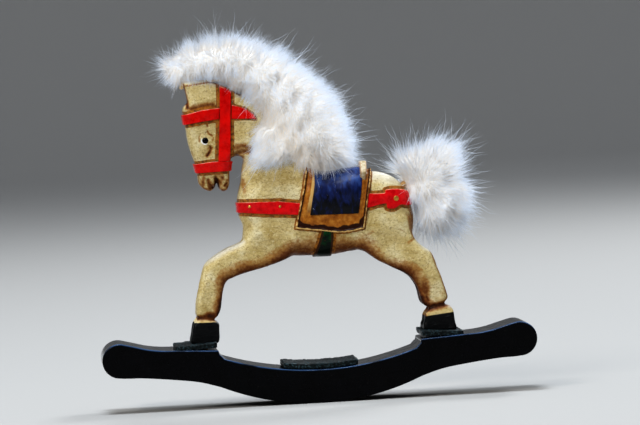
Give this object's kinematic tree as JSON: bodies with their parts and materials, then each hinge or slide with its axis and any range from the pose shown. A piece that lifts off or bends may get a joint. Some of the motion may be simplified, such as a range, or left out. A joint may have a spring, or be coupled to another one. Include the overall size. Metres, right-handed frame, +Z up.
{
  "type": "rocking horse",
  "caption": "Small painted wooden rocking-horse ornament with fur mane and tail, bridle, saddle and a solid black curved base.",
  "frame": {"origin": "on the ground under the middle of the base, where it rests level", "axes": "+Z up, the horse looks along -X, its left side is -Y"},
  "size_m": [0.2, 0.0376, 0.1726],
  "materials": {
    "gloss_black_wood": "gloss black paint",
    "rough_black_wood": "worn dark paint on rough sawn wood",
    "cream_painted_wood": "cream paint, brown antiquing, satin varnish",
    "red_painted_strap": "gloss red paint with brown edges",
    "green_painted_strap": "satin green paint",
    "brown_gold_cloth": "brown paint rubbed with gold",
    "navy_saddle": "gloss navy paint",
    "brass_tacks": "polished",
    "black_eye": "gloss",
    "raw_wood": "unfinished",
    "steel_brads": "plain",
    "fur_skin": "tanned fur skin",
    "white_fur": "long soft white fur"
  },
  "bodies": {
    "root": {"rocker_board": "gloss_black_wood", "front_slat": "rough_black_wood", "middle_slat": "rough_black_wood", "rear_slat": "rough_black_wood", "body": "cream_painted_wood", "front_leg_left": "cream_painted_wood", "front_leg_right": "cream_painted_wood", "hind_leg_left": "cream_painted_wood", "hind_leg_right": "cream_painted_wood", "cantle": "cream_painted_wood", "browband": "red_painted_strap", "noseband": "red_painted_strap", "cheek_strap_left": "red_painted_strap", "cheek_strap_right": "red_painted_strap", "neck_strap_left": "red_painted_strap", "neck_strap_right": "red_painted_strap", "breast_strap": "red_painted_strap", "crupper_strap": "red_painted_strap", "girth_strap": "green_painted_strap", "saddle_cloth": "brown_gold_cloth", "saddle_seat": "navy_saddle", "breast_tack_left": "brass_tacks", "breast_tack_right": "brass_tacks", "chest_tack_left": "brass_tacks", "chest_tack_right": "brass_tacks", "crupper_tack_left": "brass_tacks", "crupper_tack_right": "brass_tacks", "left_eye": "black_eye", "right_eye": "black_eye", "hoof_dowel_1": "raw_wood", "hoof_dowel_2": "raw_wood", "hoof_dowel_3": "raw_wood", "hoof_dowel_4": "raw_wood", "front_leg_dowel_left": "raw_wood", "front_leg_dowel_right": "raw_wood", "hind_leg_dowel_left": "raw_wood", "hind_leg_dowel_right": "raw_wood", "tail_plug": "raw_wood", "slat_brad_1": "steel_brads", "slat_brad_2": "steel_brads", "slat_brad_3": "steel_brads", "slat_brad_4": "steel_brads", "slat_brad_5": "steel_brads", "slat_brad_6": "steel_brads", "mane_hide": "fur_skin", "mane_fur": "white_fur", "tail_fur": "white_fur"}
  },
  "joints": []
}
